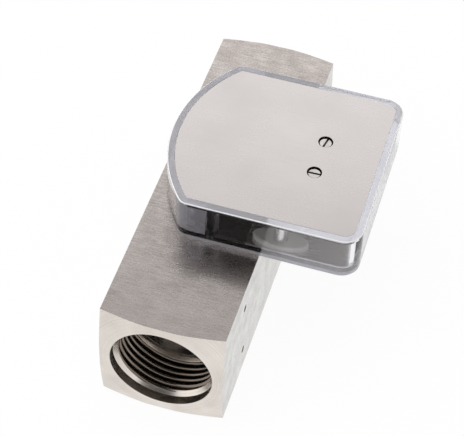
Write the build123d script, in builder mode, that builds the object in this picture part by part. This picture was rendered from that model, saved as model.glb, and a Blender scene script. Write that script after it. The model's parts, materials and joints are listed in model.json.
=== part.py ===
from math import cos, degrees, radians, sin, sqrt, tan
import os

from build123d import *

# Spring-loaded variable area flow meter: a square bar with a pipe thread in each end, a float
# that slides on a rod inside it, and a clear D-shaped indicator on top whose pointer follows
# the float's magnet. Millimetres. X is across the bar, Y runs with the flow, Z is up, and the
# origin is the middle of the bar's underside.

# Bar
BODY_WIDTH = 40.0
BODY_LENGTH = 132.0
END_LAND_RADIUS = 20.5
END_CONE_ANGLE = 15.7
PORT_RADIUS = 16.65
PORT_DEPTH = 18.0
CARTRIDGE_RADIUS = 14.25
BLIND_HOLE_FLOOR = 1.25

# Tapped holes in the bar's right side
SIDE_HOLE_RADIUS = 1.25
SIDE_HOLE_DEPTH = 6.0
SIDE_HOLE_SPACING = 21.0
SIDE_HOLE_FROM_END = 23.3

# Float and its magnet, which reaches the pointer through the bar's wall
STROKE = 34.0
SWEEP_CENTRE_Y = 3.7
MAGNET_LENGTH = 8.0
MAGNET_RADIUS = 8.8
FLOAT_TUBE_RADIUS = 4.5
FLOAT_DISC_RADIUS = 9.8
FLOAT_EDGE_WIDTH = 1.0
FLOAT_DISC_WIDTH = 2.5
FLOAT_NOSE_LENGTH = 2.2
FLOAT_TAIL_LENGTH = 1.8
RETAINER_WIDTH = 2.5
STOP_GAP = 0.3
RUNNING_FIT = 0.05
SEAT_FIT = 0.03

# Rod, its guides, the tapered sleeve and the spring
ROD_RADIUS = 2.0
ROD_END_LENGTH = 0.8
NUT_WIDTH = 7.0
NUT_HEIGHT = 3.2
GUIDE_HUB_RADIUS = 4.5
GUIDE_RING_WIDTH = 4.0
GUIDE_RING_WALL = 2.25
GUIDE_LEG_WIDTH = 2.0
GUIDE_LEGS = 3
INLET_HUB_REACH = 3.7
OUTLET_HUB_REACH = 7.2
SPRING_SEAT_RADIUS = 7.0
SPRING_SEAT_WIDTH = 1.5
SPRING_RADIUS = 5.7
SPRING_WIRE_RADIUS = 0.4
SPRING_TURNS = 8
SLEEVE_THROAT_RADIUS = 10.0
SLEEVE_EXIT_RADIUS = 12.25
SLEEVE_THROAT_LENGTH = 4.0
SLEEVE_TAPER_LENGTH = 40.0
SEAL_WIDTH = 1.8
SEAL_DEPTH = 1.2
SEAL_FROM_SLEEVE_END = 3.5
CIRCLIP_THICKNESS = 1.2
CIRCLIP_GROOVE_DEPTH = 0.75
CIRCLIP_BAND = 1.9
CIRCLIP_OPENING = 50.0
CIRCLIP_LUG_RADIUS = 1.6
CIRCLIP_EYE_RADIUS = 0.75

# Clear housing with an arc on the left that is struck from the pointer's pivot
PIVOT_X = 30.0
HOUSING_LENGTH = 65.0
HOUSING_HEIGHT = 16.0
HOUSING_RIGHT_REACH = 20.8
HOUSING_ARC_RADIUS = 48.4
HOUSING_CORNER_RADIUS = 6.2
HOUSING_HEEL_RADIUS = 3.7
HOUSING_FLOOR = 2.0
HOUSING_EDGE_BREAK = 0.3
RIM_WIDTH = 2.4
LEDGE_WIDTH = 0.9
LINER_THICKNESS = 0.6
LINER_CLEARANCE = 0.1
LINER_LEFT = 15.0
POST_RADIUS = 2.4
POST_SINK = 0.5
POST_X = 3.3
DOWEL_RADIUS = 1.25
DOWEL_REACH = 4.0

# Steel cover plate, its seal and screws
PLATE_THICKNESS = 2.0
PLATE_CLEARANCE = 0.05
PLATE_DROP = 0.05
SEAL_THICKNESS = 0.5
PLATE_HOLE_RADIUS = 2.4
PLATE_SCREW_SPACING = 14.0
PLATE_SCREW_HEAD_RADIUS = 1.95
PLATE_SCREW_HEAD_HEIGHT = 0.8
PLATE_SCREW_LENGTH = 5.0
PLATE_WEB_UNDER_HEAD = 0.6
SLOT_WIDTH = 0.6
SLOT_DEPTH = 0.45
SLOT_ANGLES = (2.0, 80.0)

# Bridge that carries the pointer's pivot
SCREW_RADIUS = 1.25
SCREW_CLEARANCE = 0.1
BRIDGE_LENGTH = 20.0
BRIDGE_WIDTH = 8.0
BRIDGE_BASE = 2.5
BRIDGE_POST_RADIUS = 2.75
BRIDGE_SCREW_LENGTH = 8.0
BRIDGE_SCREW_HEAD_RADIUS = 2.3
STRAP_WIDTH = 7.0
STRAP_THICKNESS = 1.2
BUSH_RADIUS = 2.0
BUSH_FLANGE_RADIUS = 2.75
BUSH_FLANGE_THICKNESS = 0.4

# Pointer and follower, which turn together
SHAFT_RADIUS = 1.0
SHAFT_END_GAP = 0.3
HUB_RADIUS = 2.5
HUB_FLANGE_RADIUS = 3.7
HUB_FLANGE_THICKNESS = 1.6
BOSS_RADIUS = 3.9
ARM_THICKNESS = 2.2
ARM_WIDTH = 4.0
FOLLOWER_RING_RADIUS = 4.5
FOLLOWER_MAGNET_RADIUS = 3.0
FOLLOWER_MAGNET_LENGTH = 2.6
BALANCE_REACH = 12.0
BALANCE_RADIUS = 4.0
BALANCE_HEIGHT = 3.0
BALANCE_RIVET_RADIUS = 1.5
POINTER_LENGTH = 44.0
POINTER_THICKNESS = 0.8
POINTER_ROOT_WIDTH = 4.4
POINTER_TIP_WIDTH = 1.0

# Pillars that hold the plate up near its front and rear edges
PILLAR_X = 25.3
PILLAR_RADIUS = 2.25
FOOT_LENGTH = 18.0
FOOT_WIDTH = 7.5
FOOT_HEIGHT = 2.0
FOOT_WALL_GAP = 0.35

# Screws from the housing's floor into the bar
HOUSING_SCREW_X = -4.0
HOUSING_SCREW_SPACING = 30.0
HOUSING_SCREW_RADIUS = 1.5
HOUSING_SCREW_HEAD_RADIUS = 2.75
HOUSING_SCREW_HEAD_HEIGHT = 1.8

# Heights worked out from the sizes above
axis_z = BODY_WIDTH / 2
deck_z = BODY_WIDTH
tray_z = deck_z + HOUSING_FLOOR
floor_z = tray_z + LINER_THICKNESS
rim_z = deck_z + HOUSING_HEIGHT
plate_bottom_z = rim_z - PLATE_THICKNESS
ledge_z = plate_bottom_z - SEAL_THICKNESS
strap_z = plate_bottom_z - STRAP_THICKNESS
bridge_base_z = floor_z + BRIDGE_BASE
hub_bottom_z = bridge_base_z + BUSH_FLANGE_THICKNESS + SHAFT_END_GAP
arm_top_z = hub_bottom_z + ARM_THICKNESS
pointer_z = arm_top_z + HUB_FLANGE_THICKNESS
hub_top_z = strap_z - BUSH_FLANGE_THICKNESS - SHAFT_END_GAP
blind_z = axis_z + CARTRIDGE_RADIUS + BLIND_HOLE_FLOOR
dowel_top_z = deck_z + DOWEL_REACH

# Stations along the flow, with the float at its inlet stop
half_length = BODY_LENGTH / 2
magnet_front = SWEEP_CENTRE_Y - STROKE / 2 - MAGNET_LENGTH / 2
magnet_rear = magnet_front + MAGNET_LENGTH
disc_front = magnet_front - FLOAT_DISC_WIDTH
float_front = disc_front - FLOAT_NOSE_LENGTH
retainer_rear = magnet_rear + RETAINER_WIDTH
float_rear = retainer_rear + FLOAT_TAIL_LENGTH
inlet_hub_rear = float_front - STOP_GAP
sleeve_front = inlet_hub_rear - INLET_HUB_REACH
inlet_ring_front = sleeve_front - GUIDE_RING_WIDTH
outlet_hub_front = float_rear + STROKE + STOP_GAP
spring_seat = outlet_hub_front + OUTLET_HUB_REACH
sleeve_rear = spring_seat + SPRING_SEAT_WIDTH
outlet_ring_rear = sleeve_rear + GUIDE_RING_WIDTH

# Places in plan
pivot = (PIVOT_X, SWEEP_CENTRE_Y)
half_housing = HOUSING_LENGTH / 2
wall = RIM_WIDTH + LEDGE_WIDTH
post_reach = half_housing - wall - POST_RADIUS + POST_SINK
foot_reach = half_housing - wall - FOOT_WALL_GAP - FOOT_WIDTH / 2
posts_xy = [(POST_X, SWEEP_CENTRE_Y + side * post_reach) for side in (-1, 1)]
pillars_xy = [(PILLAR_X, SWEEP_CENTRE_Y + side * foot_reach) for side in (-1, 1)]
bridge_screws_xy = [(PIVOT_X, SWEEP_CENTRE_Y + side * PLATE_SCREW_SPACING / 2) for side in (-1, 1)]
housing_screws_xy = [
    (HOUSING_SCREW_X, SWEEP_CENTRE_Y + side * HOUSING_SCREW_SPACING / 2) for side in (-1, 1)
]

# The follower rides over the bar's middle, so half the stroke seen from the pivot is the
# angle by which the pointer stands off the cross direction at rest.
rest_angle = degrees(STROKE / 2 / PIVOT_X)

flow_plane = Plane(origin=(0, 0, axis_z), x_dir=(0, 1, 0), z_dir=(1, 0, 0))
flow_axis = Axis((0, 0, axis_z), (0, 1, 0))


def half_section(*points):
    """Closed section on the flow plane, from (station along the flow, radius) points."""
    with BuildSketch(flow_plane) as section:
        with BuildLine():
            Polyline(*points, close=True)
        make_face()
    return section.sketch


def tube_section(start, end, inner, outer):
    """Section of a plain tube about the flow axis."""
    return half_section((start, inner), (end, inner), (end, outer), (start, outer))


def flow_ring(start, end, inner, outer, mode=Mode.ADD):
    """Add or cut a plain ring about the flow axis in the part being built."""
    revolve(tube_section(start, end, inner, outer), axis=flow_axis, mode=mode)


def upright(radius, bottom, top, centres, mode=Mode.ADD):
    """Add or cut upright round bars between two heights in the part being built."""
    with BuildSketch(Plane.XY.offset(bottom)) as ends:
        with Locations(*centres):
            Circle(radius)
    extrude(ends.sketch, amount=top - bottom, mode=mode)


def across_flow(station):
    """Plane square to the flow at a station, facing downstream, with X across and Y up."""
    return Plane(origin=(0, station, axis_z), x_dir=(-1, 0, 0), z_dir=(0, 1, 0))


def housing_outline(inset, height):
    """The housing's D shape, moved in by an inset: straight sides and an arc about the pivot."""
    right = PIVOT_X + HOUSING_RIGHT_REACH - inset
    half = half_housing - inset
    radius = HOUSING_ARC_RADIUS - inset
    heel = PIVOT_X - sqrt(radius**2 - half**2)
    front, rear = SWEEP_CENTRE_Y - half, SWEEP_CENTRE_Y + half
    with BuildSketch(Plane.XY.offset(height)) as outline:
        with BuildLine():
            Polyline((heel, front), (right, front), (right, rear), (heel, rear))
            ThreePointArc((heel, rear), (PIVOT_X - radius, SWEEP_CENTRE_Y), (heel, front))
        make_face()
        corners = outline.vertices().sort_by(Axis.X)
        fillet(corners[2:], HOUSING_CORNER_RADIUS - inset)
        fillet(outline.vertices().sort_by(Axis.X)[:2], HOUSING_HEEL_RADIUS - inset)
    return outline.sketch


def arm_plane(height):
    """Plane at a height, with its origin on the pivot and X out along the pointer at rest."""
    turn = radians(rest_angle)
    return Plane(origin=(*pivot, height), x_dir=(-cos(turn), -sin(turn), 0), z_dir=(0, 0, 1))


def guide_wheel(ring_front, ring_rear, hub_front, hub_rear):
    """Rim, hub and legs of a rod guide, in the part being built."""
    outer = CARTRIDGE_RADIUS - SEAT_FIT
    flow_ring(ring_front, ring_rear, outer - GUIDE_RING_WALL, outer)
    flow_ring(hub_front, hub_rear, ROD_RADIUS, GUIDE_HUB_RADIUS)
    leg_root = (ROD_RADIUS + GUIDE_HUB_RADIUS) / 2
    leg_tip = outer - GUIDE_RING_WALL / 2
    with BuildSketch(across_flow(ring_front)) as legs:
        with PolarLocations((leg_root + leg_tip) / 2, GUIDE_LEGS, start_angle=90):
            Rectangle(leg_tip - leg_root, GUIDE_LEG_WIDTH)
    extrude(legs.sketch, amount=ring_rear - ring_front)


# Bar, with shallow turned cones on its ends and a stepped bore right through
with BuildPart() as body:
    with BuildSketch(Plane.XZ.offset(-half_length)):
        with Locations((0, axis_z)):
            Rectangle(BODY_WIDTH, BODY_WIDTH)
    extrude(amount=BODY_LENGTH)
    past_corners = BODY_WIDTH
    cone_depth = (past_corners - END_LAND_RADIUS) * tan(radians(END_CONE_ANGLE))
    revolve(
        half_section(
            (-half_length, 0),
            (-half_length, END_LAND_RADIUS),
            (-half_length + cone_depth, past_corners),
            (half_length - cone_depth, past_corners),
            (half_length, END_LAND_RADIUS),
            (half_length, 0),
        ),
        axis=flow_axis,
        mode=Mode.INTERSECT,
    )
    flow_ring(-half_length, half_length, 0, CARTRIDGE_RADIUS, mode=Mode.SUBTRACT)
    flow_ring(-half_length, PORT_DEPTH - half_length, 0, PORT_RADIUS, mode=Mode.SUBTRACT)
    flow_ring(half_length - PORT_DEPTH, half_length, 0, PORT_RADIUS, mode=Mode.SUBTRACT)
    groove = CARTRIDGE_RADIUS + CIRCLIP_GROOVE_DEPTH
    flow_ring(inlet_ring_front - CIRCLIP_THICKNESS, inlet_ring_front, 0, groove, mode=Mode.SUBTRACT)
    flow_ring(outlet_ring_rear, outlet_ring_rear + CIRCLIP_THICKNESS, 0, groove, mode=Mode.SUBTRACT)
    side = Plane(origin=(BODY_WIDTH / 2, 0, axis_z), x_dir=(0, 1, 0), z_dir=(1, 0, 0))
    with Locations(side):
        with Locations((SIDE_HOLE_FROM_END - half_length, 0)):
            with GridLocations(1, SIDE_HOLE_SPACING, 1, 2):
                Hole(SIDE_HOLE_RADIUS, SIDE_HOLE_DEPTH)
    upright(DOWEL_RADIUS, blind_z, deck_z, posts_xy, mode=Mode.SUBTRACT)
    upright(HOUSING_SCREW_RADIUS, blind_z, deck_z, housing_screws_xy, mode=Mode.SUBTRACT)
body.part.label = "meter_body"

# Sleeve whose bore widens along the flow, with a groove for a seal near each end
with BuildPart() as sleeve:
    sleeve_outer = CARTRIDGE_RADIUS - SEAT_FIT
    throat_end = sleeve_front + SLEEVE_THROAT_LENGTH
    taper_end = throat_end + SLEEVE_TAPER_LENGTH
    revolve(
        half_section(
            (sleeve_front, SLEEVE_THROAT_RADIUS),
            (throat_end, SLEEVE_THROAT_RADIUS),
            (taper_end, SLEEVE_EXIT_RADIUS),
            (sleeve_rear, SLEEVE_EXIT_RADIUS),
            (sleeve_rear, sleeve_outer),
            (sleeve_front, sleeve_outer),
        ),
        axis=flow_axis,
    )
    seal_starts = (
        sleeve_front + SEAL_FROM_SLEEVE_END,
        sleeve_rear - SEAL_FROM_SLEEVE_END - SEAL_WIDTH,
    )
    for start in seal_starts:
        flow_ring(start, start + SEAL_WIDTH, sleeve_outer - SEAL_DEPTH, sleeve_outer, mode=Mode.SUBTRACT)
sleeve.part.label = "measuring_sleeve"

with BuildPart() as seals:
    for start in seal_starts:
        with BuildSketch(flow_plane) as squeezed:
            with Locations((start + SEAL_WIDTH / 2, sleeve_outer + SEAT_FIT / 2 - SEAL_DEPTH / 2)):
                Rectangle(SEAL_WIDTH, SEAL_DEPTH + SEAT_FIT)
            chamfer(squeezed.vertices(), SEAL_DEPTH / 3)
        revolve(squeezed.sketch, axis=flow_axis)
seals.part.label = "sleeve_seals"

with BuildPart() as inlet_guide:
    guide_wheel(inlet_ring_front, sleeve_front, inlet_ring_front, inlet_hub_rear)
inlet_guide.part.label = "inlet_guide"

with BuildPart() as outlet_guide:
    guide_wheel(sleeve_rear, outlet_ring_rear, outlet_hub_front, outlet_ring_rear)
    flow_ring(spring_seat, outlet_ring_rear, ROD_RADIUS, SPRING_SEAT_RADIUS)
outlet_guide.part.label = "outlet_guide"

rod_front = inlet_ring_front - NUT_HEIGHT - ROD_END_LENGTH
rod_rear = outlet_ring_rear + NUT_HEIGHT + ROD_END_LENGTH
with BuildPart() as rod:
    with BuildSketch(across_flow(rod_front)):
        Circle(ROD_RADIUS)
    extrude(amount=rod_rear - rod_front)
    chamfer(rod.edges().filter_by(GeomType.CIRCLE), ROD_RADIUS / 5)
rod.part.label = "guide_rod"

with BuildPart() as nuts:
    for nut_start in (inlet_ring_front - NUT_HEIGHT, outlet_ring_rear):
        with BuildSketch(across_flow(nut_start)) as hexagon:
            RegularPolygon(NUT_WIDTH / 2, 6, major_radius=False)
            Circle(ROD_RADIUS, mode=Mode.SUBTRACT)
        extrude(hexagon.sketch, amount=NUT_HEIGHT)
nuts.part.label = "rod_nuts"

# Open retaining rings in the bore's grooves, with an eye at each end for the pliers
with BuildPart() as circlips:
    clip_outer = groove - SEAT_FIT
    clip_inner = CARTRIDGE_RADIUS - CIRCLIP_BAND
    clip_far = 2 * clip_outer
    gap_half = clip_far * tan(radians(CIRCLIP_OPENING / 2))
    lug_circle = clip_inner - CIRCLIP_LUG_RADIUS / 2
    lug_x = lug_circle * sin(radians(CIRCLIP_OPENING / 2))
    lug_y = lug_circle * cos(radians(CIRCLIP_OPENING / 2))
    for clip_start in (inlet_ring_front - CIRCLIP_THICKNESS, outlet_ring_rear):
        with BuildSketch(across_flow(clip_start)) as clip:
            Circle(clip_outer)
            Circle(clip_inner, mode=Mode.SUBTRACT)
            with BuildLine():
                Polyline((0, 0), (-gap_half, clip_far), (gap_half, clip_far), close=True)
            make_face(mode=Mode.SUBTRACT)
            with Locations((-lug_x, lug_y), (lug_x, lug_y)):
                Circle(CIRCLIP_LUG_RADIUS)
                Circle(CIRCLIP_EYE_RADIUS, mode=Mode.SUBTRACT)
        extrude(clip.sketch, amount=CIRCLIP_THICKNESS)
circlips.part.label = "retaining_rings"

# Float: a tube that runs on the rod, with a thin-edged disc that meters the flow
with BuildPart() as float_part:
    bore = ROD_RADIUS + RUNNING_FIT
    revolve(
        half_section(
            (float_front, bore),
            (float_rear, bore),
            (float_rear, FLOAT_TUBE_RADIUS),
            (magnet_front, FLOAT_TUBE_RADIUS),
            (magnet_front, MAGNET_RADIUS),
            (disc_front + FLOAT_EDGE_WIDTH, FLOAT_DISC_RADIUS),
            (disc_front, FLOAT_DISC_RADIUS),
            (float_front, FLOAT_TUBE_RADIUS),
        ),
        axis=flow_axis,
    )
float_part.part.label = "float"

with BuildPart() as float_magnet:
    flow_ring(magnet_front, magnet_rear, FLOAT_TUBE_RADIUS, MAGNET_RADIUS)
float_magnet.part.label = "float_magnet"

with BuildPart() as retainer:
    flow_ring(magnet_rear, retainer_rear, FLOAT_TUBE_RADIUS, MAGNET_RADIUS)
    chamfer(retainer.edges().filter_by(GeomType.CIRCLE).sort_by(Axis.Y)[-1], RETAINER_WIDTH / 3)
retainer.part.label = "magnet_retainer"

# Return spring, which pushes the float's magnet back from the outlet guide's flange
with BuildPart() as spring:
    coil_start = retainer_rear + SPRING_WIRE_RADIUS
    coil_height = spring_seat - retainer_rear - 2 * SPRING_WIRE_RADIUS
    with BuildLine() as coil:
        Helix(
            pitch=coil_height / SPRING_TURNS,
            height=coil_height,
            radius=SPRING_RADIUS,
            center=(0, coil_start, axis_z),
            direction=(0, 1, 0),
        )
    with BuildSketch(Plane(origin=coil.line @ 0, z_dir=coil.line % 0)):
        RegularPolygon(SPRING_WIRE_RADIUS, 6)
    sweep(path=coil.line, is_frenet=True)
spring.part.label = "return_spring"

# Clear housing: a tray with a ledge for the plate and a post in each left corner
with BuildPart() as housing:
    extrude(housing_outline(0, deck_z), amount=HOUSING_HEIGHT)
    chamfer(housing.faces().sort_by(Axis.Z)[-1].edges(), HOUSING_EDGE_BREAK)
    chamfer(housing.faces().sort_by(Axis.Z)[0].edges(), HOUSING_EDGE_BREAK)
    extrude(housing_outline(wall, tray_z), amount=HOUSING_HEIGHT, mode=Mode.SUBTRACT)
    extrude(housing_outline(RIM_WIDTH, ledge_z), amount=HOUSING_HEIGHT, mode=Mode.SUBTRACT)
    upright(POST_RADIUS, tray_z, ledge_z, posts_xy)
    upright(DOWEL_RADIUS, deck_z, dowel_top_z, posts_xy, mode=Mode.SUBTRACT)
    upright(
        HOUSING_SCREW_RADIUS + SCREW_CLEARANCE, deck_z, tray_z, housing_screws_xy, mode=Mode.SUBTRACT
    )
    with Locations(Plane(origin=(0, 0, deck_z), x_dir=(1, 0, 0), z_dir=(0, 0, -1))):
        with Locations(*[(x, -y) for x, y in bridge_screws_xy]):
            CounterSinkHole(SCREW_RADIUS + SCREW_CLEARANCE, BRIDGE_SCREW_HEAD_RADIUS, HOUSING_FLOOR, 90)
housing.part.label = "indicator_housing"

# Steel sheet under the bridge and the feet, on the right part of the housing's floor
with BuildPart() as liner:
    extrude(housing_outline(wall + LINER_CLEARANCE, tray_z), amount=LINER_THICKNESS)
    split(bisect_by=Plane(origin=(LINER_LEFT, 0, 0), z_dir=(1, 0, 0)), keep=Keep.TOP)
    upright(SCREW_RADIUS + SCREW_CLEARANCE, tray_z, floor_z, bridge_screws_xy, mode=Mode.SUBTRACT)
liner.part.label = "floor_liner"

with BuildPart() as dowels:
    upright(DOWEL_RADIUS, blind_z, dowel_top_z, posts_xy)
dowels.part.label = "locating_dowels"

with BuildPart() as housing_screws:
    upright(HOUSING_SCREW_RADIUS, blind_z, tray_z, housing_screws_xy)
    upright(HOUSING_SCREW_HEAD_RADIUS, tray_z, tray_z + HOUSING_SCREW_HEAD_HEIGHT, housing_screws_xy)
    chamfer(housing_screws.faces().sort_by(Axis.Z)[-2:].edges(), HOUSING_SCREW_HEAD_HEIGHT / 3)
housing_screws.part.label = "housing_screws"

# Cover plate, flush with the rim, and the flat seal that it presses on the ledge
with BuildPart() as plate:
    extrude(
        housing_outline(RIM_WIDTH + PLATE_CLEARANCE, plate_bottom_z), amount=PLATE_THICKNESS - PLATE_DROP
    )
    with Locations(Plane.XY.offset(rim_z - PLATE_DROP)):
        with Locations(*bridge_screws_xy):
            CounterBoreHole(
                SCREW_RADIUS + SCREW_CLEARANCE,
                PLATE_HOLE_RADIUS,
                PLATE_THICKNESS - PLATE_DROP - PLATE_WEB_UNDER_HEAD,
                PLATE_THICKNESS,
            )
plate.part.label = "cover_plate"

with BuildPart() as plate_seal:
    extrude(housing_outline(RIM_WIDTH + PLATE_CLEARANCE, ledge_z), amount=SEAL_THICKNESS)
    extrude(housing_outline(wall, ledge_z), amount=SEAL_THICKNESS, mode=Mode.SUBTRACT)
plate_seal.part.label = "plate_seal"

head_z = plate_bottom_z + PLATE_WEB_UNDER_HEAD
head_top_z = head_z + PLATE_SCREW_HEAD_HEIGHT
with BuildPart() as plate_screws:
    upright(SCREW_RADIUS, head_z - PLATE_SCREW_LENGTH, head_z, bridge_screws_xy)
    upright(PLATE_SCREW_HEAD_RADIUS, head_z, head_top_z, bridge_screws_xy)
    for place, angle in zip(bridge_screws_xy, SLOT_ANGLES):
        with BuildSketch(Plane.XY.offset(head_top_z)) as slot:
            with Locations(Location((*place, 0), angle)):
                Rectangle(3 * PLATE_SCREW_HEAD_RADIUS, SLOT_WIDTH)
        extrude(slot.sketch, amount=-SLOT_DEPTH, mode=Mode.SUBTRACT)
plate_screws.part.label = "plate_screws"

# Bridge: a base on the liner, with a post each side of the pivot
bridge_screw_top_z = deck_z + BRIDGE_SCREW_LENGTH
with BuildPart() as bridge:
    with BuildSketch(Plane.XY.offset(floor_z)):
        with Locations(Location((*pivot, 0), 90)):
            SlotOverall(BRIDGE_LENGTH, BRIDGE_WIDTH)
    extrude(amount=BRIDGE_BASE)
    upright(BRIDGE_POST_RADIUS, floor_z, strap_z, bridge_screws_xy)
    upright(BUSH_RADIUS, floor_z, bridge_base_z, [pivot], mode=Mode.SUBTRACT)
    upright(SCREW_RADIUS, floor_z, bridge_screw_top_z, bridge_screws_xy, mode=Mode.SUBTRACT)
    upright(
        SCREW_RADIUS, head_z - PLATE_SCREW_LENGTH, strap_z, bridge_screws_xy, mode=Mode.SUBTRACT
    )
bridge.part.label = "bearing_bridge"

countersink = BRIDGE_SCREW_HEAD_RADIUS - SCREW_RADIUS
with BuildPart() as bridge_screws:
    upright(SCREW_RADIUS, deck_z, bridge_screw_top_z, bridge_screws_xy)
    with Locations(*[(x, y, deck_z + countersink / 2) for x, y in bridge_screws_xy]):
        Cone(BRIDGE_SCREW_HEAD_RADIUS, SCREW_RADIUS, countersink)
bridge_screws.part.label = "bridge_screws"

with BuildPart() as strap:
    with BuildSketch(Plane.XY.offset(strap_z)):
        with Locations(Location((*pivot, 0), 90)):
            SlotOverall(BRIDGE_LENGTH, STRAP_WIDTH)
        with Locations(*bridge_screws_xy):
            Circle(SCREW_RADIUS + SCREW_CLEARANCE, mode=Mode.SUBTRACT)
        with Locations(pivot):
            Circle(BUSH_RADIUS, mode=Mode.SUBTRACT)
    extrude(amount=STRAP_THICKNESS)
strap.part.label = "top_strap"

with BuildPart() as bushes:
    upright(BUSH_RADIUS, floor_z, bridge_base_z, [pivot])
    upright(BUSH_FLANGE_RADIUS, bridge_base_z, bridge_base_z + BUSH_FLANGE_THICKNESS, [pivot])
    upright(BUSH_RADIUS, strap_z, plate_bottom_z, [pivot])
    upright(BUSH_FLANGE_RADIUS, strap_z - BUSH_FLANGE_THICKNESS, strap_z, [pivot])
    upright(SHAFT_RADIUS + RUNNING_FIT / 2, floor_z, plate_bottom_z, [pivot], mode=Mode.SUBTRACT)
bushes.part.label = "pivot_bushes"

with BuildPart() as shaft:
    upright(SHAFT_RADIUS, floor_z + SHAFT_END_GAP, plate_bottom_z - SHAFT_END_GAP, [pivot])
    chamfer(shaft.edges().filter_by(GeomType.CIRCLE), SHAFT_RADIUS / 5)
shaft.part.label = "pivot_shaft"

with BuildPart() as hub:
    upright(HUB_RADIUS, hub_bottom_z, hub_top_z, [pivot])
    upright(HUB_FLANGE_RADIUS, arm_top_z, pointer_z, [pivot])
    upright(SHAFT_RADIUS, hub_bottom_z, hub_top_z, [pivot], mode=Mode.SUBTRACT)
hub.part.label = "pointer_hub"

# Follower arm: a ring for the magnet over the bar's middle and a tail for the balance weight
with BuildPart() as arm:
    with BuildSketch(arm_plane(hub_bottom_z)):
        Circle(BOSS_RADIUS)
        with Locations((PIVOT_X, 0)):
            Circle(FOLLOWER_RING_RADIUS)
        with Locations((-BALANCE_REACH, 0)):
            Circle(BALANCE_RADIUS)
        with Locations(((PIVOT_X - BALANCE_REACH) / 2, 0)):
            Rectangle(PIVOT_X + BALANCE_REACH, ARM_WIDTH)
        Circle(HUB_RADIUS, mode=Mode.SUBTRACT)
        with Locations((PIVOT_X, 0)):
            Circle(FOLLOWER_MAGNET_RADIUS, mode=Mode.SUBTRACT)
        with Locations((-BALANCE_REACH, 0)):
            Circle(BALANCE_RIVET_RADIUS, mode=Mode.SUBTRACT)
    extrude(amount=ARM_THICKNESS)
arm.part.label = "follower_arm"

with BuildPart() as follower_magnet:
    with BuildSketch(arm_plane(arm_top_z - FOLLOWER_MAGNET_LENGTH)):
        with Locations((PIVOT_X, 0)):
            Circle(FOLLOWER_MAGNET_RADIUS)
    extrude(amount=FOLLOWER_MAGNET_LENGTH)
follower_magnet.part.label = "follower_magnet"

with BuildPart() as balance:
    with BuildSketch(arm_plane(arm_top_z)):
        with Locations((-BALANCE_REACH, 0)):
            Circle(BALANCE_RADIUS)
    extrude(amount=BALANCE_HEIGHT)
    chamfer(balance.edges().filter_by(GeomType.CIRCLE).sort_by(Axis.Z)[-1], BALANCE_HEIGHT / 8)
    with BuildSketch(arm_plane(hub_bottom_z)):
        with Locations((-BALANCE_REACH, 0)):
            Circle(BALANCE_RIVET_RADIUS)
    extrude(amount=ARM_THICKNESS)
balance.part.label = "counterweight"

with BuildPart() as pointer:
    with BuildSketch(arm_plane(pointer_z)):
        Circle(BOSS_RADIUS)
        with BuildLine():
            shoulder = POINTER_LENGTH - POINTER_TIP_WIDTH
            Polyline(
                (0, -POINTER_ROOT_WIDTH / 2),
                (shoulder, -POINTER_TIP_WIDTH / 2),
                (POINTER_LENGTH, 0),
                (shoulder, POINTER_TIP_WIDTH / 2),
                (0, POINTER_ROOT_WIDTH / 2),
                close=True,
            )
        make_face()
        Circle(HUB_RADIUS, mode=Mode.SUBTRACT)
    extrude(amount=POINTER_THICKNESS)
pointer.part.label = "pointer"

# Feet on the liner, and the pillars that stand in them
with BuildPart() as feet:
    with BuildSketch(Plane.XY.offset(floor_z)):
        with Locations(*pillars_xy):
            Ellipse(FOOT_LENGTH / 2, FOOT_WIDTH / 2)
            Circle(PILLAR_RADIUS, mode=Mode.SUBTRACT)
    extrude(amount=FOOT_HEIGHT)
    chamfer(feet.faces().sort_by(Axis.Z)[-2:].edges().filter_by(GeomType.ELLIPSE), FOOT_HEIGHT / 5)
feet.part.label = "pillar_feet"

with BuildPart() as pillars:
    upright(PILLAR_RADIUS, floor_z, plate_bottom_z, pillars_xy)
pillars.part.label = "plate_pillars"

os.makedirs("parts", exist_ok=True)
for piece in (
    body, sleeve, seals, inlet_guide, outlet_guide, rod, nuts, circlips, float_part, float_magnet,
    retainer, spring, housing, liner, dowels, housing_screws, plate, plate_seal, plate_screws, bridge,
    bridge_screws, strap, bushes, shaft, hub, arm, follower_magnet, balance, pointer, feet, pillars,
):
    export_step(piece.part, f"parts/{piece.part.label}.step")
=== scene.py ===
"""Looks of the in-line variable area flow meter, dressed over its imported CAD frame.

Everything is in metres in the row frame: X across the bar, Y with the flow, Z up, and the
origin in the middle of the bar's underside. Sizes named _MM are in millimetres.
"""

import json
from math import radians

import bmesh
import bpy
import numpy as np
from mathutils import Matrix, Vector


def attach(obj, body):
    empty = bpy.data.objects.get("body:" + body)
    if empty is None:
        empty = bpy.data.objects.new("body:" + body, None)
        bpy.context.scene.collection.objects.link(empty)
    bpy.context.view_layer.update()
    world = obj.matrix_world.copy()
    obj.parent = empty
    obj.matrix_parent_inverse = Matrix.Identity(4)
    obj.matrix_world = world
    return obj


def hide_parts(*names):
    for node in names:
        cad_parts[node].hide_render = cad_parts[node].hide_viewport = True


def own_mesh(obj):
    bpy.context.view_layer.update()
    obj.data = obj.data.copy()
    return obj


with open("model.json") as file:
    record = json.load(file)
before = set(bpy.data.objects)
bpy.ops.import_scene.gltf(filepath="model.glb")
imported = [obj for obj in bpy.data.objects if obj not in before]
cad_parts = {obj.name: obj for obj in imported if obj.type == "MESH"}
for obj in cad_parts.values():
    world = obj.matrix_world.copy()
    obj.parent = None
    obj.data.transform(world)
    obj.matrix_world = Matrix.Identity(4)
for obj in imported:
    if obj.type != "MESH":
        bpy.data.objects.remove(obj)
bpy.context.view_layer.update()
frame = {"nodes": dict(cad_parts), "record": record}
nodes = frame["nodes"]

MM = 0.001

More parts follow.
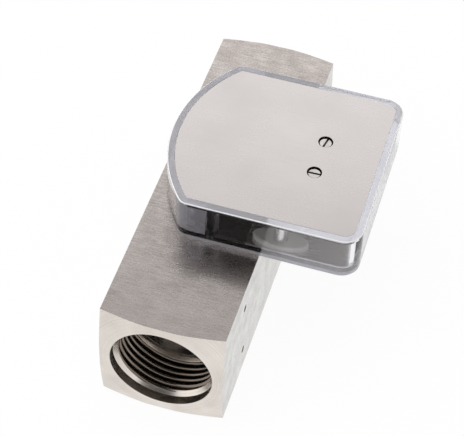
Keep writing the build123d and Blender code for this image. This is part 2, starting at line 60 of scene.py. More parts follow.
# A face looks along an axis when its normal's part along it is past FACING, and lies along
# the axis when that part is under EDGE_ON. A sloping face is between the two.
FACING = 0.95
SLOPING = 0.3
EDGE_ON = 0.05
IN_PLANE_MM = 0.1

# Dressing of a CAD mesh: corners this close are one, and faces that turn less than FLAT are one.
# Edges that turn by more than CREASE are broken and stay sharp. A cut uses the corners that lie
# nearer to it than its tolerance, which is in metres.
MERGE_MM = 0.002
CUT_TOLERANCE = 1e-7
FLAT_DEGREES = 0.3
CREASE_DEGREES = 28.0
SKIN_CREASE_DEGREES = 50.0

# Sections in each turn of a thread and of the spring, round the lead-in cone, and sides of the wire
THREAD_STEPS = 72
COIL_STEPS = 48
CONE_STEPS = 144
WIRE_SIDES = 12

# Bar and its pipe threads: G1, 55 degree flanks, cut behind a plain mouth and a lead-in cone
AXIS_Z_MM = 20.0
DECK_Z_MM = 40.0
BAR_HALF_LENGTH_MM = 66.0
PORT_RADIUS_MM = 16.65
THREAD_START_MM = 3.8
PIPE_PITCH_MM = 2.309
PIPE_DEPTH_MM = 1.479
PIPE_TURNS = 5.7
LEAD_IN_MM = ((2.9, 16.7), (4.5, 15.5), (4.5, 16.7))
FLANK_DEGREES = 27.5

# A ridge's section, from flank to flank: shares of the flank's width, of half the crest's width
# and of the thread's depth. The last two points are sunk into the bore's wall.
RIDGE_FLANK = (-1.0, -0.8, -0.25, 0.0, 0.0, 0.25, 0.8, 1.0, 1.0, -1.0)
RIDGE_CREST = (-1.0, -1.0, -1.0, -0.55, 0.55, 1.0, 1.0, 1.0, 1.0, -1.0)
RIDGE_HEIGHT = (0.0, 0.2, 0.78, 1.0, 1.0, 0.78, 0.2, 0.0, -0.24, -0.24)

# How fast a ridge rises at its ends, in depths for each turn, and its width there as a share
TAPER_PER_TURN = 3.0
NARROWEST = 0.4

# Tapped side holes: M3
SIDE_FACE_X_MM = 20.0
SIDE_HOLE_RADIUS_MM = 1.25
SIDE_HOLE_Y_MM = -42.7
SIDE_HOLE_Z_MM = (9.5, 30.5)
SIDE_PITCH_MM = 0.5
SIDE_DEPTH_MM = 0.2
SIDE_TURNS = 8.0

# Return spring, between the float's retainer and the outlet guide's flange, and the float's stroke
SPRING_ENDS_MM = (-6.79, 36.49)
SPRING_COIL_MM = 5.7
SPRING_WIRE_MM = 0.39
SPRING_TURNS = 8.0

# Heights of the housing's faced surfaces: its foot and its rim
HOUSING_FACES_MM = (DECK_Z_MM, 56.0)

# Middle of the housing, and its hazy left corners: where they end across the bar, and how far
# from the middle they start along the flow
HOUSING_MIDDLE_MM = (18.3, 3.7)
CORNERS_END_X_MM = 2.0
CORNERS_START_MM = 25.5

# Dull band round the housing's foot, where its wall was ground
BAND_TOP_MM = 41.9

# Painted shade: the housing's foot over the deck is black, for the shade under the housing; its span
# across the bar and along the flow
FOOT_SHADE_X_MM = (-4.5, 20.0)
FOOT_SHADE_Y_MM = (-23.2, 30.6)

# A film of air keeps the foot off the deck and the liner off the housing's floor
FILM_MM = 0.03
HOUSING_FLOOR_MM = 42.0

# Plate screws and the recesses round their heads, painted dark for the shade in them
SCREW_X_MM = 30.0
SCREW_Y_MM = (-3.3, 10.7)
RECESS_RADIUS_MM = 2.45
RECESS_TOP_MM = 55.35

# Noise mostly keeps within this span, which its colours and roughness are spread over
NOISE_SPAN = {"From Min": 0.3, "From Max": 0.7}

# Cells of the finest grain on every metal, and its share in the relief beside the cutting marks
FINE_MM = 0.5
FINE_SHARE = 0.4

# A face belongs to the bar's ends when its normal's part along the flow is past this
END_FACING = 0.6

# Camera, fitted to the bar's and the housing's edges
EYE = (0.096233, -0.349788, 0.429040)
LOOK = (-0.17088, 0.64139, -0.74795)
RIGHTWARD = (0.95650, 0.29014, 0.03027)
SENSOR_MM = 36.0
LENS_MM = 126.77

# Surround's shade by the height of its direction's unit vector: a greyer band high up, a little warm
BAND = ((0.0, 1.0), (0.69, 1.0), (0.745, 0.92), (0.79, 0.38), (0.87, 0.22), (0.95, 0.7), (1.0, 0.8))
BAND_TINT = (1.0, 0.985, 0.97)

# Zones of the surround: the part of the direction that each reads, where it starts and ends,
# and its level before and after
SURROUND = {
    "near_side": ("Y", -0.4, 0.3, 0.15, 1.0),
    "low": ("Z", 0.48, 0.62, 1.0, 0.0),
    "left": ("X", -0.4, -0.65, 0.0, 1.2),
    "above_skirting": ("Z", 0.1, 0.24, 0.05, 1.0),
    "behind_skirting": ("Y", -0.8, -0.6, 0.05, 1.0),
}

# Share of the floor that shows as plain white to the camera and in reflections. The rest takes shadow.
WHITE_SHARE = 0.94

# Studio floor, just below the object's underside, in metres
FLOOR_HALF = 3.0
FLOOR_Z = -0.00005


def linear(code):
    """Linear RGBA of an sRGB hex colour."""
    parts = np.array([int(code[k : k + 2], 16) for k in (1, 3, 5)]) / 255.0
    curve = np.where(parts <= 0.04045, parts / 12.92, ((parts + 0.055) / 1.055) ** 2.4)
    return (*curve.tolist(), 1.0)


def add(tree, kind, inputs=None, **settings):
    """Add a shader node with its settings. An input is a value, a socket or a node's first output."""
    made = tree.nodes.new("ShaderNode" + kind)
    for name, value in settings.items():
        setattr(made, name, value)
    for name, value in (inputs or {}).items():
        if isinstance(value, bpy.types.Node):
            value = value.outputs[0]
        if isinstance(value, bpy.types.NodeSocket):
            tree.links.new(value, made.inputs[name])
        else:
            made.inputs[name].default_value = value
    return made


def new_material(name):
    """An empty node material and its node tree."""
    material = bpy.data.materials.new(name)
    material.use_nodes = True
    material.node_tree.nodes.clear()
    return material, material.node_tree


def grain(tree, cell_mm, detail=2.0, shift=0.0):
    """Noise from 0 to 1 with cells of cell_mm along the piece's X, Y and Z, moved by shift cells."""
    place = add(tree, "TexCoord")
    stretched = add(
        tree,
        "Mapping",
        {
            "Vector": place.outputs["Object"],
            "Scale": [1 / (MM * size) for size in cell_mm],
            "Location": (shift, shift, shift),
        },
    )
    return add(tree, "TexNoise", {"Vector": stretched, "Scale": 1.0, "Detail": detail})


def rings(tree, pitch_mm, axis_scale, centre=(0.0, 0.0, 0.0)):
    """Noise in rings about an axis: it reads the distance from the axis, in pitches."""
    place = add(tree, "TexCoord")
    flat = add(
        tree,
        "Mapping",
        {
            "Vector": place.outputs["Object"],
            "Location": [-c * s for c, s in zip(centre, axis_scale)],
            "Scale": axis_scale,
        },
    )
    reach = add(tree, "VectorMath", {0: flat}, operation="LENGTH")
    turns = add(tree, "Math", {0: reach.outputs["Value"], 1: 1 / (MM * pitch_mm)}, operation="MULTIPLY")
    across = add(tree, "CombineXYZ", {"X": turns})
    return add(tree, "TexNoise", {"Vector": across, "Scale": 1.0, "Detail": 2.0})


def worked_metal(name, light, dark, rough, marks, relief_mm, mottle_mm=9.0, marks_share=0.5):
    """A bare metal: cutting marks in bump, and marks and a slow mottle in its colour and roughness."""
    material, tree = new_material(name)
    marks_out = marks(tree)
    mottle = grain(tree, (mottle_mm,) * 3, 5.0, 3.7)
    fine = grain(tree, (FINE_MM,) * 3, 1.0, 9.1)
    blend = add(tree, "MixRGB", {"Fac": marks_share, "Color1": mottle, "Color2": marks_out})
    share = add(tree, "MapRange", {"Value": blend, **NOISE_SPAN, "To Min": 0.0, "To Max": 1.0})
    smooth, dull = rough
    gloss = add(tree, "MapRange", {"Value": blend, **NOISE_SPAN, "To Min": dull, "To Max": smooth})
    tint = add(tree, "MixRGB", {"Fac": share, "Color1": linear(dark), "Color2": linear(light)})
    mixed = add(tree, "MixRGB", {"Fac": FINE_SHARE, "Color1": marks_out, "Color2": fine})
    bump = add(tree, "Bump", {"Height": mixed, "Strength": 1.0, "Distance": relief_mm * MM})
    shader = add(
        tree,
        "BsdfPrincipled",
        {
            "Base Color": tint,
            "Metallic": 1.0,
            "Roughness": gloss,
            "Normal": bump,
        },
    )
    add(tree, "OutputMaterial", {"Surface": shader})
    return material


def moulded(name, light, dark, rough, relief_mm, cell_mm, see_through=0.0, ior=1.5):
    """A moulded plastic or rubber: a fine skin texture and a very slight change of shade."""
    material, tree = new_material(name)
    skin = grain(tree, (cell_mm,) * 3, 3.0)
    shade = grain(tree, (12.0, 12.0, 12.0), 2.0, 5.3)
    tint = add(tree, "MixRGB", {"Fac": shade, "Color1": linear(dark), "Color2": linear(light)})
    bump = add(tree, "Bump", {"Height": skin, "Strength": 1.0, "Distance": relief_mm * MM})
    low, high = rough
    gloss = add(tree, "MapRange", {"Value": skin, **NOISE_SPAN, "To Min": low, "To Max": high})
    shader = add(
        tree,
        "BsdfPrincipled",
        {
            "Base Color": tint,
            "Metallic": 0.0,
            "Roughness": gloss,
            "IOR": ior,
            "Transmission Weight": see_through,
            "Normal": bump,
        },
    )
    add(tree, "OutputMaterial", {"Surface": shader})
    return material


def milled_marks(tree):
    """Marks of a face mill on the bar's sides, and of a facing tool in 0.5 mm rings on its ends."""
    sides = grain(tree, (30.0, 0.7, 30.0), 4.0)
    ends = rings(tree, 0.5, (1.0, 0.0, 1.0), (0.0, 0.0, AXIS_Z_MM * MM))
    facing = add(tree, "SeparateXYZ", {"Vector": add(tree, "TexCoord").outputs["Normal"]})
    steep = add(tree, "Math", {0: facing.outputs["Y"]}, operation="ABSOLUTE")
    on_end = add(tree, "Math", {0: steep, 1: END_FACING}, operation="GREATER_THAN")
    return add(tree, "MixRGB", {"Fac": on_end, "Color1": sides, "Color2": ends})


def deck_marks(tree):
    """Passes of a face mill across the deck, 0.3 mm apart, and half-millimetre specks of wear."""
    passes = grain(tree, (5.0, 0.3, 5.0), 3.0, 2.3)
    specks = grain(tree, (0.55, 0.55, 0.55), 4.0, 6.1)
    return add(tree, "MixRGB", {"Fac": 0.5, "Color1": passes, "Color2": specks})


def side_marks(tree):
    """Upright grinding lines on the bar's long sides, with pits between them."""
    lines = grain(tree, (8.0, 0.5, 8.0), 4.0, 1.7)
    pits = grain(tree, (1.1, 1.1, 2.2), 4.0, 8.2)
    return add(tree, "MixRGB", {"Fac": 0.55, "Color1": lines, "Color2": pits})


def satin_marks(tree):
    """Short straight scratches of belt-ground sheet, along X: 0.05 mm wide, drawn wider to show."""
    return grain(tree, (14.0, 0.35, 0.35), 3.0)


def turned_marks(tree):
    """Feed marks of a lathe round the flow axis, 0.1 mm apart, drawn wider to show."""
    return grain(tree, (40.0, 0.3, 40.0), 2.0)


def drawn_marks(tree):
    """Upright draw lines of bar and wire stock, 0.05 mm wide, drawn wider to show."""
    return grain(tree, (0.25, 0.25, 8.0), 2.0)


def ground_marks(tree):
    """Even grain of a ground or tumbled part, 0.1 mm across, drawn coarser to show."""
    return grain(tree, (0.4, 0.4, 0.4), 3.0)


materials = {
    # Stainless bar, milled: warm grey, soft gloss broken by tool marks
    "bar_steel": worked_metal(
        "milled_stainless_steel", "#ebe5de", "#cec6bf", (0.18, 0.32), milled_marks, 0.03
    ),
    # The bar's deck, faced with a worn cutter and handled since: browner, with blotches a few mm wide
    "deck_steel": worked_metal(
        "face_milled_steel", "#ece5e2", "#aea5a1", (0.18, 0.38), deck_marks, 0.012, 6.0, 0.75
    ),
    # The bar's long sides, ground after milling: neutral, with dark pits
    "side_steel": worked_metal(
        "ground_stainless_steel", "#dddcd9", "#bab8b4", (0.2, 0.34), side_marks, 0.012, 5.0
    ),
    # The same steel where the tap has cut it, painted darker for the shade inside the threads; bright
    # only along the crests
    "shaded_thread_steel": worked_metal(
        "tapped_steel_painted_shade", "#8f857c", "#6b6159", (0.12, 0.22), turned_marks, 0.004
    ),
    # Stainless sheet with a fine satin: even, paler, almost without contrast
    "plate_steel": worked_metal(
        "satin_stainless_sheet", "#efeaea", "#e6e1e1", (0.25, 0.3), satin_marks, 0.0005, 24.0, 0.25
    ),
    # Stainless parts off a lathe: bright rings
    "turned_steel": worked_metal(
        "turned_stainless_steel", "#d2ccc7", "#aaa39c", (0.2, 0.34), turned_marks, 0.004
    ),
    # The same parts inside the bore, painted dark for the shade there
    "shaded_turned_steel": worked_metal(
        "turned_steel_painted_shade", "#6f6862", "#4b4641", (0.2, 0.34), turned_marks, 0.004
    ),
    # Bright stainless screws
    "screw_steel": worked_metal(
        "bright_screw_steel", "#f4f2f0", "#d9d6d3", (0.2, 0.32), ground_marks, 0.003, 2.0
    ),
    # Spring wire and circlips: darker and smoother
    "spring_steel": worked_metal(
        "drawn_spring_steel", "#b3aeaa", "#86817c", (0.22, 0.34), drawn_marks, 0.003, 3.0
    ),
    # Black oxide on steel: near black with a dull sheen
    "blackened_steel": worked_metal(
        "black_oxide_steel", "#3a3735", "#242220", (0.34, 0.5), drawn_marks, 0.004, 2.0
    ),
    # Nickel on a sintered magnet: smooth with a slight orange peel
    "magnet": worked_metal(
        "nickel_plated_magnet", "#cfc9bf", "#b5aea3", (0.14, 0.24), ground_marks, 0.002, 4.0
    ),
    # Polycarbonate: clear, polished, faint ripple from the mould
    "clear_plastic": moulded(
        "clear_polycarbonate", "#fbfbfd", "#f7f7fb", (0.012, 0.05), 0.002, 5.0, 1.0, 1.58
    ),
    # The same plastic where a cutter faced it: frosted, so that it holds light
    "faced_plastic": moulded(
        "faced_polycarbonate", "#e8e8f0", "#d6d6e0", (0.12, 0.18), 0.001, 3.0, 0.62, 1.58
    ),
    # The foot, ground rather than faced: coarser, so that it lets light from below into the floor
    "foot_plastic": moulded(
        "ground_polycarbonate", "#f4f4f9", "#e8e8f0", (0.5, 0.6), 0.001, 3.0, 0.85, 1.58
    ),
    # Its inside in the two left corners, where the mould is hard to polish: a bluish haze
    "hazy_plastic": moulded(
        "unpolished_polycarbonate", "#f4f4fb", "#e6e6f2", (0.2, 0.3), 0.001, 3.0, 0.45, 1.58
    ),
    # Its broken edges, white and dull as a painted highlight: they show as thin white lines
    "edge_highlight_plastic": moulded(
        "polycarbonate_painted_highlight", "#ffffff", "#f2f2f6", (0.3, 0.4), 0.001, 2.0, 0.15, 1.58
    ),
    # Glass-filled nylon: black with a fine dry skin
    "black_plastic": moulded("black_nylon", "#232324", "#19191a", (0.42, 0.56), 0.012, 0.5),
    # Acetal: white, waxy
    "white_plastic": moulded("white_acetal", "#ecebe6", "#e0dfd9", (0.34, 0.46), 0.008, 0.7),
    # Aluminium, machined: pale and slightly blue
    "bridge_aluminium": worked_metal(
        "machined_aluminium", "#dcdde0", "#c2c4c8", (0.28, 0.4), satin_marks, 0.004, 6.0
    ),
    # Bearing bronze: warm brown-yellow
    "bearing_bronze": worked_metal(
        "turned_bronze", "#c99a5b", "#a87c45", (0.24, 0.36), ground_marks, 0.003, 4.0
    ),
    # Enamel on the pointer: smooth, glossy black
    "pointer_paint": moulded("black_enamel", "#1d1c1c", "#151414", (0.16, 0.26), 0.003, 1.2),
    # Nitrile rubber: black, matt
    "seal_rubber": moulded("nitrile_rubber", "#1e1e1e", "#161616", (0.55, 0.7), 0.01, 0.4),
}
slot_of = {part["node"]: part["material_slot"] for part in frame["record"]["subparts"]}
for name, piece in nodes.items():
    piece.material_slots[0].material = materials[slot_of[name]]
# Painted shade: the parts inside the bore take the darkened steel.
for name in ("measuring_sleeve", "inlet_guide", "outlet_guide"):
    nodes[name].material_slots[0].material = materials["shaded_turned_steel"]


def placed(piece, slot, body, *replaced):
    """Link a piece, give it its slot's material, and let it ride on a body."""
    bpy.context.scene.collection.objects.link(piece)
    piece.data.materials.clear()
    piece.data.materials.append(materials[slot])
    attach(piece, body)
    if replaced:
        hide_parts(*replaced)
    return piece


def dressed(node, edge_mm, segments=2, cuts=()):
    """The node's own shape with its doubles merged, its flats made whole and its edges broken.

    Each of cuts is an axis and its place in mm: across X or Y it divides the faces that look
    down, and across Z the upright ones.
    """
    work = bmesh.new()
    work.from_mesh(nodes[node].data)
    bmesh.ops.remove_doubles(work, verts=work.verts, dist=MERGE_MM * MM)
    flat = radians(FLAT_DEGREES)
    bmesh.ops.dissolve_limit(work, angle_limit=flat, verts=work.verts, edges=work.edges)
    for axis, place_mm in cuts:
        across = Vector((axis == 0, axis == 1, axis == 2))
        faces = [
            face
            for face in work.faces
            if face.normal.z < -FACING or (axis == 2 and abs(face.normal.z) < EDGE_ON)
        ]
        edges = {edge for face in faces for edge in face.edges}
        corners = {corner for face in faces for corner in face.verts}
        bmesh.ops.bisect_plane(
            work,
            geom=[*faces, *edges, *corners],
            dist=CUT_TOLERANCE,
            plane_co=across * place_mm * MM,
            plane_no=across,
        )
    mesh = bpy.data.meshes.new(node + "_dressed")
    work.to_mesh(mesh)
    work.free()
    if "custom_normal" in mesh.attributes:
        mesh.attributes.remove(mesh.attributes["custom_normal"])
    mesh.shade_smooth()
    mesh.set_sharp_from_angle(angle=radians(CREASE_DEGREES))
    piece = bpy.data.objects.new(node + "_dressed", mesh)
    broken = piece.modifiers.new("broken_edges", "BEVEL")
    broken.width = edge_mm * MM
    broken.segments = segments
    broken.limit_method = "ANGLE"
    broken.angle_limit = radians(CREASE_DEGREES)
    broken.use_clamp_overlap = True
    broken.harden_normals = True
    return placed(piece, slot_of[node], "meter", node)


def thread_ridge(name, bore_mm, pitch_mm, depth_mm, turns, start, along, across):
    """A female thread's ridge, standing inwards from a bore.

    A point is start + along * (pitch * t + w) + radial(t) * (bore - depth * taper(t) * h(w)):
    t counts turns, w is the place across the ridge and h(w) is a trapezoid with rounded
    shoulders whose flanks stand at 27.5 degrees. taper(t) rises from 0 to 1 over the first
    third of a turn and falls back over the last, and there the ridge narrows to 0.4 of w.
    """
    flank = depth_mm * np.tan(radians(FLANK_DEGREES))
    crest = (pitch_mm - 2 * flank) / 4
    width = np.array(RIDGE_FLANK) * flank + np.array(RIDGE_CREST) * crest
    height = np.array(RIDGE_HEIGHT)
    t = np.linspace(0.0, turns, int(THREAD_STEPS * turns) + 1)[:, None]
    taper = np.clip(np.minimum(t, turns - t) * TAPER_PER_TURN, 0.0, 1.0)
    axis = np.array(along, float)
    side = np.array(across, float)
    up = np.cross(axis, side)
    angle = 2 * np.pi * t
    radial = np.cos(angle)[..., None] * side + np.sin(angle)[..., None] * up
    rise = np.where(height > 0, depth_mm * taper * height, depth_mm * height)
    reach = bore_mm - rise
    narrowing = NARROWEST + (1 - NARROWEST) * taper
    shift = pitch_mm * t + width * np.where(height > 0, narrowing, 1.0)
    points = np.array(start, float) + axis * shift[..., None] + radial * reach[..., None]
    ridge = placed(skin(name, points, closed=False), "bar_steel", "meter")
    # Painted shade: the ridge takes the darkened thread steel.
    ridge.data.materials[0] = materials["shaded_thread_steel"]
    return ridge


def lead_in(name, outward):
    """The cone that leads into a pipe thread, between its plain mouth and its first crest.

    A ring with a triangular section: at turn t the section's corners stand at the radii
    and depths below the end face that LEAD_IN_MM lists.
    """
    depth, radius = np.array(LEAD_IN_MM).T
    angle = np.linspace(0, 2 * np.pi, CONE_STEPS, endpoint=False)[:, None]
    points = np.stack(
        [
            radius * np.cos(angle),
            np.broadcast_to(outward * (BAR_HALF_LENGTH_MM - depth), (CONE_STEPS, depth.size)),
            AXIS_Z_MM + radius * np.sin(angle),
        ],
        -1,
    )
    ring = skin(name, points, closed=True)
    return placed(ring, "bar_steel", "meter")


def coil_spring(name):
    """A compression spring round the flow axis.

    At turn t the wire's centre stands on the coil's radius at the angle 2 pi t, and t / turns of
    the way along; its section is a circle in the plane of the axis and that radius.
    """
    first = SPRING_ENDS_MM[0] + SPRING_WIRE_MM
    last = SPRING_ENDS_MM[1] - SPRING_WIRE_MM
    t = np.linspace(0.0, SPRING_TURNS, int(COIL_STEPS * SPRING_TURNS) + 1)[:, None]
    round_wire = np.linspace(0, 2 * np.pi, WIRE_SIDES, endpoint=False)
    angle = 2 * np.pi * t
    reach = SPRING_COIL_MM + SPRING_WIRE_MM * np.cos(round_wire)
    along = first + (last - first) * t / SPRING_TURNS + SPRING_WIRE_MM * np.sin(round_wire)
    points = np.stack([reach * np.cos(angle), along, AXIS_Z_MM + reach * np.sin(angle)], -1)
    return placed(skin(name, points, closed=False), "spring_steel", "meter", "return_spring")


def skin(name, points, closed):
    """A mesh object over a grid of sections: quads round each section and along their row."""
    steps, count = points.shape[:2]
    rows = steps if closed else steps - 1
    row, column = np.meshgrid(np.arange(rows), np.arange(count), indexing="ij")
    ahead, beside = (row + 1) % steps, (column + 1) % count
    near, far = row * count, ahead * count
    corners = (near + column, near + beside, far + beside, far + column)
    faces = np.stack(corners, -1).reshape(-1, 4).tolist()
    if not closed:
        faces += [list(range(count)), list(range((steps - 1) * count, steps * count))]
    mesh = bpy.data.meshes.new(name)
    mesh.from_pydata((points.reshape(-1, 3) * MM).tolist(), [], faces)
    work = bmesh.new()
    work.from_mesh(mesh)
    bmesh.ops.recalc_face_normals(work, faces=work.faces)
    work.to_mesh(mesh)
    work.free()
    mesh.shade_smooth()
    mesh.set_sharp_from_angle(angle=radians(SKIN_CREASE_DEGREES))
    return bpy.data.objects.new(name, mesh)


def finished(piece, material, chosen):
    """Give another finish to the faces that chosen picks from their normals and centres in mm."""
    polygons = piece.data.polygons
    normal = np.empty(len(polygons) * 3)
    centre = np.empty(len(polygons) * 3)
    polygons.foreach_get("normal", normal)
    polygons.foreach_get("center", centre)
    picked = chosen(normal.reshape(-1, 3), centre.reshape(-1, 3) / MM)
    slots = np.empty(len(polygons), int)
    polygons.foreach_get("material_index", slots)
    slots[picked] = len(piece.data.materials)
    piece.data.materials.append(material)
    polygons.foreach_set("material_index", slots)


def lifted(piece, lowest_mm):
    """Raise the piece's lowest points to lowest_mm, so that light passes under them."""
    points = np.empty(len(piece.data.vertices) * 3)
    piece.data.vertices.foreach_get("co", points)
    points[2::3] = np.maximum(points[2::3], lowest_mm * MM)
    piece.data.vertices.foreach_set("co", points)
    piece.data.update()


def foot_face(normal, centre):
    """The housing's foot."""
    return (normal[:, 2] < -FACING) & (np.abs(centre[:, 2] - HOUSING_FACES_MM[0]) < IN_PLANE_MM)


def ground_band(normal, centre):
    """The lowest part of the housing's upright faces."""
    return (np.abs(normal[:, 2]) < EDGE_ON) & (centre[:, 2] < BAND_TOP_MM)


def on_deck(normal, centre):
    """The part of the housing's foot that stands on the deck, whose steel shows through it."""
    return foot_face(normal, centre) & (centre[:, 0] < SIDE_FACE_X_MM)


def rim_face(normal, centre):
    """The housing's rim, round the plate."""
    return (normal[:, 2] > FACING) & (np.abs(centre[:, 2] - HOUSING_FACES_MM[1]) < IN_PLANE_MM)


def corner_face(normal, centre):
    """The upright faces of the housing's inside in its two left corners."""
    from_middle = centre[:, :2] - HOUSING_MIDDLE_MM
    inwards = (from_middle * normal[:, :2]).sum(axis=1) < 0
    in_corner = (centre[:, 0] < CORNERS_END_X_MM) & (np.abs(from_middle[:, 1]) > CORNERS_START_MM)
    return inwards & in_corner & (np.abs(normal[:, 2]) < EDGE_ON)


def long_side(normal, centre):
    """The bar's two long sides."""
    return np.abs(normal[:, 0]) > FACING


def painted_shade_on_foot(normal, centre):
    """The part of the housing's foot over the deck that is painted black for the shade under the
    housing.
    """
    lowest, highest = np.array([FOOT_SHADE_X_MM, FOOT_SHADE_Y_MM]).T
    inside = (centre[:, :2] > lowest) & (centre[:, :2] < highest)
    return inside.all(axis=1) & foot_face(normal, centre)


def deck(normal, centre):
    """The bar's top face."""
    return (normal[:, 2] > FACING) & (centre[:, 2] > DECK_Z_MM - IN_PLANE_MM)


def underside_painted_light(normal, centre):
    """Faces that look straight down, beside the bar, painted white as painted light for the inside
    there.
    """
    return (normal[:, 2] < -FACING) & (centre[:, 0] > SIDE_FACE_X_MM)


def broken_edge(normal, centre):
    """The sloping faces of the housing's broken edges."""
    slope = np.abs(normal[:, 2])
    return (slope > SLOPING) & (slope < FACING)


def screw_recess_painted_shade(normal, centre):
    """Faces within a recess's radius of a plate screw and below the surface round it, painted dark for
    shade.
    """
    reach = np.hypot(centre[:, 0, None] - SCREW_X_MM, centre[:, 1, None] - np.array(SCREW_Y_MM))
    return (reach.min(axis=1) < RECESS_RADIUS_MM) & (centre[:, 2] < RECESS_TOP_MM)


bar = dressed("meter_body", 0.25)
finished(bar, materials["deck_steel"], deck)
finished(bar, materials["side_steel"], long_side)
housing_cuts = [(0, x) for x in FOOT_SHADE_X_MM] + [(1, y) for y in FOOT_SHADE_Y_MM] + [(2, BAND_TOP_MM)]
housing = dressed("indicator_housing", 0.35, 3, housing_cuts)
lifted(housing, HOUSING_FACES_MM[0] + FILM_MM)
finished(housing, materials["faced_plastic"], rim_face)
finished(housing, materials["foot_plastic"], foot_face)
finished(housing, materials["faced_plastic"], ground_band)
finished(housing, materials["hazy_plastic"], corner_face)
finished(housing, materials["deck_steel"], on_deck)
# Painted shade: this part of the foot takes the black rubber colour.
finished(housing, materials["seal_rubber"], painted_shade_on_foot)
# Painted highlight: the broken edges take the white plastic.
finished(housing, materials["edge_highlight_plastic"], broken_edge)
plate = dressed("cover_plate", 0.12, cuts=[(0, SIDE_FACE_X_MM)])
# Painted shade: the recesses round the screw heads, in the plate and on the screws, take the darkened
# steel.
finished(plate, materials["shaded_turned_steel"], screw_recess_painted_shade)
# Painted light: the plate's underside beside the bar takes the white plastic, so the inside over the
# overhang comes out lighter.
finished(plate, materials["white_plastic"], underside_painted_light)
finished(dressed("plate_screws", 0.08), materials["shaded_turned_steel"], screw_recess_painted_shade)
dressed("pillar_feet", 0.15)
dressed("plate_pillars", 0.15)
dressed("bearing_bridge", 0.2)
lifted(dressed("floor_liner", 0.1), HOUSING_FLOOR_MM + FILM_MM)
dressed("top_strap", 0.15)
dressed("locating_dowels", 0.15)

spring = coil_spring("coiled_return_spring")
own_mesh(spring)

thread_start = BAR_HALF_LENGTH_MM - THREAD_START_MM
lead_in("inlet_lead_in", -1)
lead_in("outlet_lead_in", 1)
pipe = (PORT_RADIUS_MM, PIPE_PITCH_MM, PIPE_DEPTH_MM, PIPE_TURNS)
thread_ridge("inlet_pipe_thread", *pipe, (0, -thread_start, AXIS_Z_MM), (0, 1, 0), (1, 0, 0))
thread_ridge("outlet_pipe_thread", *pipe, (0, thread_start, AXIS_Z_MM), (0, -1, 0), (1, 0, 0))
for label, height_mm in zip(("lower", "upper"), SIDE_HOLE_Z_MM):
    thread_ridge(
        f"{label}_side_thread",
        SIDE_HOLE_RADIUS_MM,
        SIDE_PITCH_MM,
        SIDE_DEPTH_MM,
        SIDE_TURNS,
        (SIDE_FACE_X_MM - SIDE_PITCH_MM, SIDE_HOLE_Y_MM, height_mm),
        (-1, 0, 0),
        (0, 1, 0),
    )


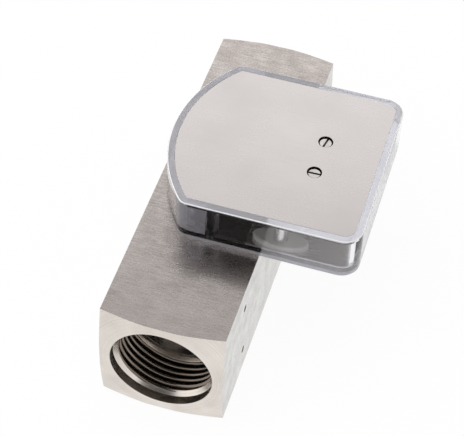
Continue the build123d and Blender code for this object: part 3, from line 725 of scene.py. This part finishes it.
def studio():
    """White floor and surround, with a greyer band high up that falls off towards the near side.

    Low down and on the left the surround stays bright, but for a dark skirting on the near side.
    """
    world = bpy.data.worlds.new("studio")
    bpy.context.scene.world = world
    world.use_nodes = True
    tree = world.node_tree
    tree.nodes.clear()
    direction = add(tree, "SeparateXYZ", {"Vector": add(tree, "TexCoord").outputs["Generated"]})
    ramp = add(tree, "ValToRGB", {"Fac": direction.outputs["Z"]})
    elements = ramp.color_ramp.elements
    while len(elements) < len(BAND):
        elements.new(0.5)
    for element, (place, shade) in zip(elements, BAND):
        element.position = place
        element.color = (*(shade * part for part in BAND_TINT), 1.0)
    level = {}
    for zone, (axis, start, end, level_before, level_after) in SURROUND.items():
        level[zone] = add(
            tree,
            "MapRange",
            {
                "Value": direction.outputs[axis],
                "From Min": start,
                "From Max": end,
                "To Min": level_before,
                "To Max": level_after,
            },
        )
    around_skirting = {0: level["above_skirting"], 1: level["behind_skirting"]}
    past_skirting = add(tree, "Math", around_skirting, operation="MAXIMUM")
    low = add(tree, "Math", {0: level["low"], 1: past_skirting}, operation="MINIMUM")
    sides = add(tree, "Math", {0: low, 1: level["left"]}, operation="MAXIMUM")
    strength = add(tree, "Math", {0: level["near_side"], 1: sides}, operation="MAXIMUM")
    around = add(tree, "Background", {"Color": ramp, "Strength": strength})
    seen = add(tree, "Background", {"Color": linear("#ffffff"), "Strength": 1.0})
    ray = add(tree, "LightPath").outputs
    mix = add(tree, "MixShader", {0: ray["Is Camera Ray"], 1: around, 2: seen})
    add(tree, "OutputWorld", {"Surface": mix})

    floor_paper, tree = new_material("white_studio_paper")
    ray = add(tree, "LightPath").outputs
    either = add(tree, "Math", {0: ray["Is Camera Ray"], 1: ray["Is Glossy Ray"]}, operation="MAXIMUM")
    seen = add(tree, "Math", {0: either, 1: ray["Is Transmission Ray"]}, operation="MAXIMUM")
    share = add(tree, "Math", {0: seen, 1: WHITE_SHARE}, operation="MULTIPLY")
    paper = add(tree, "BsdfDiffuse", {"Color": linear("#fafafa")})
    glow = add(tree, "Emission", {"Color": linear("#ffffff"), "Strength": 1.0})
    mix = add(tree, "MixShader", {0: share, 1: paper, 2: glow})
    add(tree, "OutputMaterial", {"Surface": mix})
    mesh = bpy.data.meshes.new("studio_floor")
    quarters = ((-1, -1), (1, -1), (1, 1), (-1, 1))
    corners = [(x * FLOOR_HALF, y * FLOOR_HALF, FLOOR_Z) for x, y in quarters]
    mesh.from_pydata(corners, [], [(0, 1, 2, 3)])
    mesh.materials.append(floor_paper)
    floor = bpy.data.objects.new("studio_floor", mesh)
    bpy.context.scene.collection.objects.link(floor)


def lamp(name, place, target, size, watts):
    """A square white lamp at place, turned to the target, which metal and glass don't mirror."""
    data = bpy.data.lights.new(name, "AREA")
    data.shape = "SQUARE"
    data.size = size
    data.energy = watts
    made = bpy.data.objects.new(name, data)
    bpy.context.scene.collection.objects.link(made)
    made.visible_glossy = False
    made.visible_transmission = False
    made.location = place
    made.rotation_euler = (Vector(target) - Vector(place)).to_track_quat("-Z", "Y").to_euler()


def camera():
    """The photograph's viewpoint: an orthonormal frame from its two fitted directions."""
    data = bpy.data.cameras.new("photo_camera")
    data.sensor_fit = "HORIZONTAL"
    data.sensor_width = SENSOR_MM
    data.lens = LENS_MM
    data.clip_start = 0.02
    data.clip_end = 20.0
    made = bpy.data.objects.new("photo_camera", data)
    bpy.context.scene.collection.objects.link(made)
    back = -Vector(LOOK).normalized()
    right = (Vector(RIGHTWARD) - back * back.dot(Vector(RIGHTWARD))).normalized()
    up = back.cross(right)
    turn = Matrix((right, up, back)).transposed().to_4x4()
    made.matrix_world = Matrix.Translation(EYE) @ turn
    bpy.context.scene.camera = made


studio()
lamp("overhead_softbox", (-0.3, -0.3, 1.3), (0.0, 0.0, 0.0), 1.6, 12.0)
camera()
bpy.context.scene.view_settings.view_transform = "Standard"
